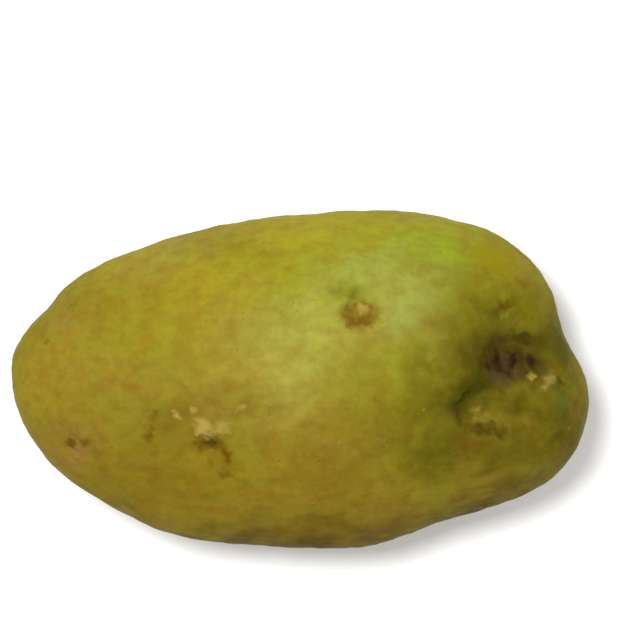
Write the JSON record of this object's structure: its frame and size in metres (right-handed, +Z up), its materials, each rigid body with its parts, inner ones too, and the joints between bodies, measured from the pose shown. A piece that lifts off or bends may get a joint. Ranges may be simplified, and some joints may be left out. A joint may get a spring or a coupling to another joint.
{
  "type": "potato",
  "caption": "Greened oval potato lying on its side, with browed eyes, a hollow at the rose end, a scab and a stolon scar; rests on a small flat spot.",
  "frame": {"origin": "middle of the potato's box seen from above, on the surface it rests on", "axes": "+X along the length from the heel, where the stolon was, to the rose end; +Y across to the straight flank; +Z up, out of the greened crown"},
  "size_m": [0.11, 0.0644, 0.051],
  "materials": {
    "skin": "dull satin potato skin, ochre with green, faint russet netting"
  },
  "bodies": {
    "root": {"potato": "skin"}
  },
  "joints": []
}
